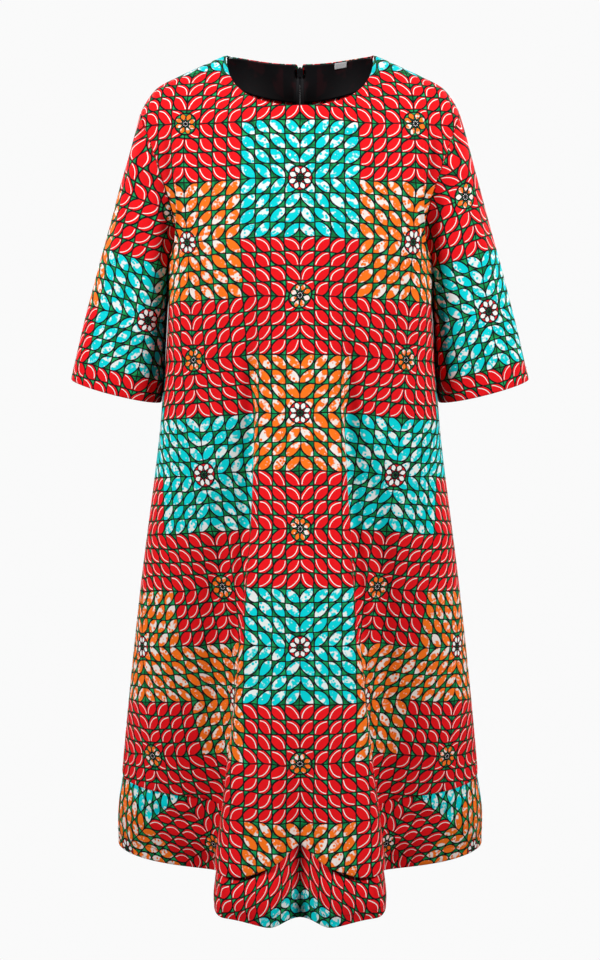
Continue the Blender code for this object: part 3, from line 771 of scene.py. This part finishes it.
def sleeve_rounds():
    """Steps round a sleeve from the underarm, the back first: turn, rise and whether in front."""
    turns = np.linspace(-math.pi, math.pi, 2 * SLEEVE_ROUNDS + 1)[:-1]
    return [(turn, 1 - abs(turn) / math.pi, turn >= 0 or turn == -math.pi) for turn in turns]


def sleeve_points(side):
    rounds = sleeve_rounds()
    top = [armhole_edge(side, rise, front) for _, rise, front in rounds]
    cuff = [cuff_point(side, turn) for turn, _, _ in rounds]
    top_centre = sum(top) / len(top)
    cuff_centre = sum(cuff) / len(cuff)
    rows = []
    for t in np.linspace(0, 1, SLEEVE_ROWS + 1):
        row = []
        for (turn, _, _), start, end in zip(rounds, top, cuff):
            low = (1 - math.cos(turn)) / 2
            out, down = np.array(SLEEVE_START_TOP) * (1 - low) + np.array(SLEEVE_START_UNDERARM) * low
            point = hermite(t, start, np.array((side * out, 0.0, down)), end, end - start)
            out_from_centre = point - (top_centre * (1 - t) + cuff_centre * t)
            fuller = SLEEVE_BULGE * math.sin(math.pi * t) * (1 - low)
            fuller += UNDERARM_BULGE * math.sin(math.pi * t * t) * low
            row.append(point + out_from_centre / np.linalg.norm(out_from_centre) * fuller)
        rows.append(row)
    return np.array(rows)


def build_sleeve(side, name, material):
    points = sleeve_points(side)
    s, t = flatten(np.concatenate([points, points[:, :1]], axis=1), round(1.5 * SLEEVE_ROUNDS))
    turns = np.array([math.degrees(turn) for turn, _, _ in sleeve_rounds()])
    turns, shares = np.meshgrid(turns, np.linspace(0, 1, SLEEVE_ROWS + 1))
    offset = crease_offset(turns, shares, SLEEVE_CREASES, SLEEVE_SCALE)
    waves = ripple(turns * SLEEVE_SCALE[0], shares * SLEEVE_SCALE[1], 4.0 + side)
    offset += waves * SLEEVE_RIPPLE
    calm = smoothstep((SLEEVE_UNDERSIDE - np.abs(turns)) / SLEEVE_SIDE_CALM)
    calm *= smoothstep(shares / SLEEVE_END_CALM) * smoothstep((1 - shares) / SLEEVE_END_CALM)
    normals = surface_normals(points, closed=True) * side
    points = points + normals * (offset * calm)[..., None]
    flats = [with_edges(flat, 0) for flat in (s + side * SLEEVE_START[0], t + SLEEVE_START[1])]
    points = with_edges(points, 0)
    points = roll_edges(points, surface_normals(points, closed=True) * side, ("low", "high"))
    return cloth_object(name, points, flats, material, closed=True, flip=side < 0)


def flat_band(points, centre):
    """Flat coordinates of a band cut as an arc, from its top edge (the last row) down."""
    arc = measured(points[-1])[1]
    turn = (arc - arc[centre]) / BAND_CUT_RADIUS
    lengths = np.linalg.norm(np.diff(points, axis=0), axis=-1)
    down = np.concatenate([np.cumsum(lengths[::-1], axis=0)[::-1], np.zeros((1, points.shape[1]))])
    radius = BAND_CUT_RADIUS + down
    return radius * np.sin(turn), radius * np.cos(turn) - BAND_CUT_RADIUS


def build_band(name, front, seed, material):
    half = half_angles()
    centre = len(half) - 1
    angles = [-half[:0:-1], half] if front else [180 - half[::-1], 180 + half[1:]]
    angles = np.concatenate(angles)
    falls = np.linspace(1, 0, BAND_ROWS + 1)
    turned = np.where(angles > 180, angles - 360, angles)
    points = np.array([[band_point(angle, fall) for angle in turned] for fall in falls])
    s, t = flat_band(points, centre)
    falls = falls[:, None]
    levels = points[..., 2]
    sizes = np.broadcast_to(np.abs(turned), levels.shape)
    offset = crease_offset(sizes, levels, BAND_CREASES, BODY_SCALE)
    offset += ripple(np.broadcast_to(angles, levels.shape) * ANGLE_LENGTH, levels, seed)
    calm = smoothstep(np.abs(sizes - 90) / BAND_SIDE_CALM)
    calm *= smoothstep((1 - falls) / BAND_CALM + BAND_HEM_FREE)
    calm *= smoothstep((falls - BAND_TOP_CALM) / BAND_CALM)
    points = points + surface_normals(points) * (offset * calm)[..., None]
    return finish_panel(name, points, (s, t + BAND_START), material)


def inner_cloth(name, rows, material, thickness, side):
    """A smaller piece inside the back, measured out along its rows and columns."""
    points = np.array(rows)
    across = np.linalg.norm(np.diff(points, axis=1), axis=-1)
    down = np.linalg.norm(np.diff(points, axis=0), axis=-1)
    s = np.concatenate([np.zeros((len(points), 1)), np.cumsum(across, axis=1)], axis=1)
    t = np.concatenate([np.zeros((1, points.shape[1])), np.cumsum(down, axis=0)])
    return cloth_object(name, points, (s, t), material, thickness, flip=side < 0)


def inside_back(angle, height, inset):
    """A point inside the back, this far in from its outer face."""
    return panel_point(angle, height, False) - back_outward(angle, height) * inset


def build_lining(side, name, material):
    angles = np.linspace(*LINING_ANGLES, LINING_COLUMNS)
    fall = LINING_TOP_FALL * (1 - smoothstep((angles - angles[0]) / LINING_FALL_ANGLE))
    rows = []
    for share in np.linspace(0, 1, LINING_ROWS):
        heights = LINING_BOTTOM + (LINING_TOP - fall - LINING_BOTTOM) * share
        row = [inside_back(side * angle, height, LINING_INSET) for angle, height in zip(angles, heights)]
        height = LINING_BOTTOM + (LINING_TOP - LINING_BOTTOM) * share
        rows.append(row + [inner_point(side, LINING_EDGE, height, LINING_INSET)])
    return inner_cloth(name, rows, material, INNER_SHELL, side)


def zip_heights(top_depth, rows_below, rows_above):
    """Heights from the foot of the zip, through the underarm's level, to this far below the neckline."""
    top = 1 - top_depth / back_column_length()
    end = (ZIP_END - UNDERARM) / (UNDERARM - seam_value(180, "level"))
    return np.concatenate([np.linspace(end, 0, rows_below), np.linspace(0, top, rows_above)[1:]])


def build_tape(side, name, material):
    rows = []
    for height in zip_heights(TAPE_TOP_DEPTH, TAPE_ROWS, TAPE_ROWS):
        row = [inner_point(side, across, height, TAPE_INSET) for across in TAPE_COLUMNS]
        row[-1][0] = side * SEAM_GAP / 2
        rows.append(row)
    return inner_cloth(name, rows, material, TAPE_SHELL, side)


def label_angle(x, height):
    """The angle at which the back, at this height, lies at x."""
    low, high = 120.0, 180.0
    halvings = 30
    for _ in range(halvings):
        middle = (low + high) / 2
        if panel_point(middle, height, False)[0] > x:
            low = middle
        else:
            high = middle
    return (low + high) / 2


def build_label(material):
    width, length = LABEL_SIZE
    rows = []
    for down in np.linspace(1, 0, LABEL_ROWS):
        height = LABEL_TOP - length / back_column_length() * down
        places = LABEL_CENTRE + width * np.linspace(0.5, -0.5, LABEL_COLUMNS)
        rows.append([inside_back(label_angle(x, height), height, LABEL_INSET) for x in places])
    return inner_cloth("neck_label_cloth", rows, material, INNER_SHELL, 1)


def small_pieces(name, places, size, material):
    """Many small boxes in one mesh; places holds a centre and three axes for each."""
    corners = np.array([(x, y, z) for x in (-0.5, 0.5) for y in (-0.5, 0.5) for z in (-0.5, 0.5)]) * size
    corners = corners * np.where(corners[:, 1:2] > 0, SMALL_TAPER, 1.0)
    box_faces = ((0, 1, 3, 2), (4, 6, 7, 5), (0, 4, 5, 1), (2, 3, 7, 6), (0, 2, 6, 4), (1, 5, 7, 3))
    verts, faces = [], []
    for n, (centre, axes) in enumerate(places):
        verts.extend((centre + corners @ axes).tolist())
        faces.extend(tuple(8 * n + corner for corner in face) for face in box_faces)
    return mesh_object(name, verts, faces, material)


def along_line(points, pitch):
    """Places every pitch along a line of points."""
    points = np.array(points)
    travelled = measured(points)[1]
    wanted = np.arange(pitch / 2, travelled[-1], pitch)
    return np.stack([np.interp(wanted, travelled, values) for values in points.T], axis=1)


def axes_along(places, out):
    """Three axes at each place: along the line, out of the cloth, and across."""
    along = unit(np.gradient(places, axis=0))
    out = unit(out - np.sum(out * along, axis=1, keepdims=True) * along)
    return [np.stack(rows) for rows in zip(along, out, np.cross(along, out))]


def build_teeth(material):
    """The zip's coil, on the inside of the tapes, from its foot to the slider."""
    line = []
    for height in zip_heights(COIL_TOP_DEPTH, 30, 40):
        point = panel_point(180, height, False) - back_outward(179, height) * COIL_INSET
        point[0] = 0
        line.append(point)
    places = along_line(line, TOOTH_PITCH)
    places[:, 0] = np.where(np.arange(len(places)) % 2 == 0, TOOTH_STEP, -TOOTH_STEP)
    axes = axes_along(places, np.tile((0.0, -1.0, 0.0), (len(places), 1)))
    return small_pieces("zip_coil", list(zip(places, axes)), TOOTH_SIZE, material)


def build_stitches(material):
    """Short threads along lines of points and their outward directions."""
    places = []
    for line in hem_lines():
        points = along_line([point for point, _ in line], STITCH_PITCH)
        outs = np.array([normal for _, normal in line])
        picks = np.linspace(0, len(outs) - 1, len(points)).round().astype(int)
        places.extend(zip(points, axes_along(points, outs[picks])))
    return small_pieces("hem_thread", places, STITCH_SIZE, material)


def hem_lines():
    """The lines of stitching above the hem and round both cuffs, short of the seams."""
    lines = []
    share = 1 - HEM_STITCH / BAND_HEIGHT
    for start, end in ((-89, 89), (91, 269)):
        line = []
        angles = np.linspace(start, end, HEM_POINTS)
        for angle in np.where(angles > 180, angles - 360, angles):
            normal = outward(body_point, angle, hem_level(angle))
            line.append((band_point(angle, share) + normal * STITCH_RISE, normal))
        lines.append(line)
    for side in (1, -1):
        points = sleeve_points(side)
        normals = surface_normals(points, closed=True) * side
        row = len(points) - 3
        ring = list(zip(points[row] + normals[row] * STITCH_RISE, normals[row]))
        lines.append(ring[4:-3])
    return lines


class Value:
    """A number or colour worked out at each point of a material."""

    def __init__(self, tree, socket):
        self.tree = tree
        self.socket = socket

    def math(self, operation, *others, clamp=False):
        made = self.tree.nodes.new("ShaderNodeMath")
        made.operation = operation
        made.use_clamp = clamp
        fill(made, dict(enumerate((self, *others))))
        return Value(self.tree, made.outputs[0])

    def mix(self, first, second):
        """The first colour where this is 0 and the second where it is 1."""
        made = self.tree.nodes.new("ShaderNodeMix")
        made.data_type = "RGBA"
        made.clamp_factor = True
        colours = [n for n, slot in enumerate(made.inputs) if slot.type == "RGBA"]
        fill(made, {"Factor": self, colours[0]: first, colours[1]: second})
        return Value(self.tree, [slot for slot in made.outputs if slot.type == "RGBA"][0])

    def noise(self, scale, detail=2.0, roughness=0.5):
        made = self.tree.nodes.new("ShaderNodeTexNoise")
        fill(made, {"Vector": self, "Scale": scale, "Detail": detail, "Roughness": roughness})
        return Value(self.tree, made.outputs[0])

    def cells(self, scale, feature="F1"):
        made = self.tree.nodes.new("ShaderNodeTexVoronoi")
        made.feature = feature
        fill(made, {"Vector": self, "Scale": scale})
        return Value(self.tree, made.outputs["Distance"])

    def __abs__(self):
        return self.math("ABSOLUTE")

    def __add__(self, other):
        return self.math("ADD", other)

    def __sub__(self, other):
        return self.math("SUBTRACT", other)

    def __rsub__(self, other):
        return self * -1.0 + other

    def __mul__(self, other):
        return self.math("MULTIPLY", other)

    def __truediv__(self, other):
        return self.math("DIVIDE", other)

    def above(self, edge, soft=0.0):
        """1 where this is over the edge, 0 under it, with a soft change between."""
        if not soft:
            return self.math("GREATER_THAN", edge)
        return ((self - edge) / soft + 0.5).math("ADD", 0.0, clamp=True)

    def below(self, edge, soft=0.0):
        return 1.0 - self.above(edge, soft)


def fill(node, values):
    """Puts values, or plain numbers and colours, into a node's inputs."""
    for name, value in values.items():
        slot = node.inputs[name]
        if isinstance(value, Value):
            value.tree.links.new(value.socket, slot)
        else:
            slot.default_value = (*value, 1.0) if slot.type == "RGBA" else value


def cloth_place(tree):
    """Flat cloth coordinates in metres: the vector, along the width and along the length."""
    place = tree.nodes.new("ShaderNodeUVMap")
    place.uv_map = "cloth"
    split = tree.nodes.new("ShaderNodeSeparateXYZ")
    tree.links.new(place.outputs[0], split.inputs[0])
    return [Value(tree, socket) for socket in (place.outputs[0], *split.outputs[:2])]


def material_named(name, roughness, metallic=0.0):
    made = bpy.data.materials.new(name)
    made.use_nodes = True
    shader = made.node_tree.nodes["Principled BSDF"]
    fill(shader, {"Roughness": roughness, "Metallic": metallic})
    return made, made.node_tree, shader


def add_bump(shader, height, distance, strength):
    node = height.tree.nodes.new("ShaderNodeBump")
    fill(node, {"Strength": strength, "Distance": distance, "Height": height})
    height.tree.links.new(node.outputs[0], shader.inputs["Normal"])


def weave_height(place, s, t, pitch):
    """The height of a plain weave's threads, with a little crinkle."""
    turn = 2 * math.pi / pitch
    threads = (s * turn).math("SINE") * (t * turn).math("SINE")
    return threads * 0.35 + place.noise(260.0, 3.0, 0.6) * 0.9 + place.noise(46.0) * 2.2


def petals(radius, turn):
    """How far inside the nearest petal of a flower each point is, in blocks."""
    around = (turn * (PETALS / (2 * math.pi))).math("FRACT") - 0.5
    share = ((radius - PETAL_FOOT) / (FLOWER - PETAL_FOOT)).math("ADD", 0.0, clamp=True)
    half = (share * math.pi).math("SINE") * PETAL_WIDTH
    return (half - abs(around)) * radius * (2 * math.pi / PETALS)


def print_material(name):
    """Cotton printed on both faces: half-drop blocks of slanting leaves on green, each with a flower."""
    made, tree, shader = material_named(name, 0.78)
    place, s, t = cloth_place(tree)
    u = s / BLOCK + (place.noise(26.0, 1.0) - 0.5) * WOBBLE
    v = t / BLOCK + (place.noise(23.0, 1.0) - 0.5) * WOBBLE
    column_number = (u + 0.5).math("FLOOR")
    v = v + (column_number * 0.5).math("FRACT")
    row_number = (v + 0.5).math("FLOOR")
    x = u - column_number
    y = v - row_number
    kind = (((abs(column_number) + row_number) * 0.25).math("FRACT") * 4.0).math("ROUND")
    turquoise_kind = kind.math("COMPARE", 1.0, 0.1)
    orange_kind = kind.math("COMPARE", 3.0, 0.1)
    red_kind = 1.0 - (turquoise_kind + orange_kind)

    bubbles = place.cells(170.0)
    clouds = place.noise(62.0, 2.0, 0.55)
    mottle = clouds.above(0.53, 0.05) * bubbles.above(0.36, 0.1)
    mottle = mottle.math("MAXIMUM", clouds.below(0.42, 0.05) * bubbles.below(0.17, 0.1))
    turquoise = (mottle * 0.92).mix(TURQUOISE, WHITE)
    orange = (mottle * 0.88).mix(ORANGE, WHITE)
    green = (place.noise(90.0).above(0.49, 0.16) * 0.85).mix(GREEN, DARK_GREEN)
    red = (place.noise(60.0).above(0.5, 0.5) * 0.30).mix(RED, DEEP_RED)

    def by_kind(first, second, third):
        return orange_kind.mix(turquoise_kind.mix(first, second), third)

    a = (abs(x) * LEAVES).math("FRACT")
    b = (abs(y) * LEAVES).math("FRACT")
    past_a = 1.0 - a
    past_b = 1.0 - b
    one_side = LEAF_RADIUS - (past_a * past_a + b * b).math("SQRT")
    other_side = LEAF_RADIUS - (a * a + past_b * past_b).math("SQRT")
    leaf = one_side.math("MINIMUM", other_side) + red_kind * RED_LEAF_EXTRA
    colour = leaf.above(0.0).mix(green, by_kind(red, turquoise, orange))
    rim = a.math("MINIMUM", past_a).math("MINIMUM", b.math("MINIMUM", past_b))
    black = abs(leaf).below(LINE * 0.9) + rim.below(LINE * 0.75)
    white = abs(one_side - RED_ARC).below(LINE * 0.5) * other_side.above(RED_ARC) * red_kind
    colour = white.mix(colour, WHITE)

    radius = (x * x + y * y).math("SQRT")
    flower = radius.below(FLOWER)
    petal = petals(radius, y.math("ARCTAN2", x))
    colour = flower.mix(colour, by_kind(green, red, red))
    colour = (flower * petal.above(0.0)).mix(colour, by_kind(orange, WHITE, WHITE))
    black = black * (1.0 - flower) + flower * abs(petal).below(FINE_LINE)
    colour = radius.below(FLOWER_HEART).mix(colour, by_kind(WHITE, green, green))
    for ring in (FLOWER_HEART, FLOWER):
        black = black + abs(radius - ring).below(FINE_LINE * 1.4)
    fill(shader, {"Base Color": black.mix(colour, BLACK), "Roughness": place.noise(120.0) * 0.14 + 0.72})
    fill(shader, {"Sheen Weight": 0.01, "Specular IOR Level": 0.08})
    add_bump(shader, weave_height(place, s, t, WEAVE), 0.35 * MM, 0.45)
    return made


def painted_shade_lining_material():
    """The lining, painted with shade: near-black with a faint dark-red figure, as the print's inner face
    looks in deep shade.
    """
    made, tree, shader = material_named("lining_painted_shade", 0.6)
    place, s, t = cloth_place(tree)
    figure = place.cells(26.0, "DISTANCE_TO_EDGE").above(0.16, 0.05)
    patches = place.noise(30.0).above(0.52, 0.06)
    # Painted shade: a faint dark-red print figure on near-black, for the print's inside in deep shade.
    colour = (figure * patches * 0.6).mix(PAINTED_SHADE_BLACK, PAINTED_SHADE_RED)
    fill(shader, {"Base Color": colour, "Specular IOR Level": 0.25})
    add_bump(shader, weave_height(place, s, t, 0.8 * MM), 0.2 * MM, 0.3)
    return made


def plain_material(name, tints, roughness, pitch):
    """A woven tape or ribbon in one colour, slightly uneven."""
    made, tree, shader = material_named(name, roughness)
    place, s, t = cloth_place(tree)
    fill(shader, {"Base Color": place.noise(320.0).above(0.5, 0.5).mix(*tints)})
    add_bump(shader, weave_height(place, s, t, pitch), 0.15 * MM, 0.4)
    return made


def worn_material(name, tints, metallic, scale, edge, smoothest, bump):
    """A small hard piece, its tint and gloss a little uneven with wear."""
    made, tree, shader = material_named(name, smoothest, metallic)
    place = tree.nodes.new("ShaderNodeTexCoord")
    wear = Value(tree, place.outputs["Object"]).noise(scale, 3.0)
    fill(shader, {"Base Color": wear.above(edge, 0.2).mix(*tints), "Roughness": wear * 0.2 + smoothest})
    if bump:
        add_bump(shader, wear, bump, 0.3)
    return made


def glow(tree, low):
    """As bright as the backdrop where the camera sees it, and low for what it lights."""
    seen = tree.nodes.new("ShaderNodeLightPath")
    return Value(tree, seen.outputs["Is Camera Ray"]) * (BACKDROP - low) + low


def add_stage():
    """A pale floor, soft light from both sides and from behind, and an even near-white backdrop."""
    scene = bpy.context.scene
    scene.view_settings.view_transform = "Standard"
    bpy.ops.mesh.primitive_plane_add(size=FLOOR_SIZE, location=(0, 0, FLOOR_LEVEL))
    floor = bpy.context.object
    floor.name = "floor"
    made, tree, shader = material_named("floor_paint", 0.9)
    fill(shader, {"Base Color": (0, 0, 0), "Specular IOR Level": 0.0})
    fill(shader, {"Emission Color": (1, 1, 1), "Emission Strength": glow(tree, FLOOR_GLOW)})
    floor.data.materials.append(made)
    world = bpy.data.worlds.new("studio")
    scene.world = world
    world.use_nodes = True
    background = world.node_tree.nodes["Background"]
    fill(background, {"Color": (1, 1, 1), "Strength": glow(world.node_tree, WORLD_GLOW)})
    for name, place, size, power in LIGHTS:
        data = bpy.data.lights.new(name, "AREA")
        data.size = size
        data.energy = power
        lamp = bpy.data.objects.new(name, data)
        scene.collection.objects.link(lamp)
        lamp.location = place
        aim = Vector(LIGHT_AIM) - Vector(place)
        lamp.rotation_euler = aim.to_track_quat("-Z", "Y").to_euler()


def add_camera():
    data = bpy.data.cameras.new("camera")
    data.sensor_width = SENSOR
    data.lens = LENS
    camera = bpy.data.objects.new("camera", data)
    bpy.context.scene.collection.objects.link(camera)
    camera.location = CAMERA_PLACE
    camera.rotation_euler = (math.pi / 2 - CAMERA_TILT, 0.0, 0.0)
    bpy.context.scene.camera = camera


def place_piece(obj, node=None):
    """Rides a piece on the dress. One that stands for a node replaces it."""
    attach(obj, "dress")
    if not node:
        return
    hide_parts(node)
    mesh = obj.data
    values = np.empty(2 * len(mesh.loops), np.float32)
    mesh.uv_layers["cloth"].data.foreach_get("uv", values)
    values = values.reshape(-1, 2)


def place_pair(build, name, material, node):
    for side, word in ((1, "left"), (-1, "right")):
        place_piece(build(side, f"{name}_{word}", material), f"{node}_{word}")


def main():
    body = print_material("body_cotton")
    sleeve = print_material("sleeve_cotton")
    band = print_material("band_cotton")
    lining = painted_shade_lining_material()
    tape = plain_material("zip_tape_cloth", TAPE_TINTS, 0.8, 0.9 * MM)
    label = plain_material("label_ribbon", LABEL_TINTS, 0.6, 0.7 * MM)
    nylon = worn_material("black_nylon", NYLON_TINTS, 0.0, 700.0, 0.55, 0.35, 0.0)
    enamel = worn_material("black_enamel", ENAMEL_TINTS, 0.4, 900.0, 0.6, 0.26, 0.03 * MM)
    place_piece(build_front(body), "front")
    place_pair(build_back, "dress_back", body, "back")
    place_pair(build_sleeve, "dress_sleeve", sleeve, "sleeve")
    place_piece(build_band("dress_band_front", True, 5.0, band), "band_front")
    place_piece(build_band("dress_band_back", False, 6.0, band), "band_back")
    place_pair(build_lining, "neck_lining", lining, "lining")
    place_pair(build_tape, "zip_tape_cloth", tape, "zip_tape")
    place_piece(build_label(label), "neck_label")
    place_piece(build_teeth(nylon))
    place_piece(build_stitches(nylon))
    for node in ("zip_slider", "zip_pull"):
        hard = bpy.data.objects[node]
        hard.data.materials.clear()
        hard.data.materials.append(enamel)
    add_stage()
    add_camera()


main()
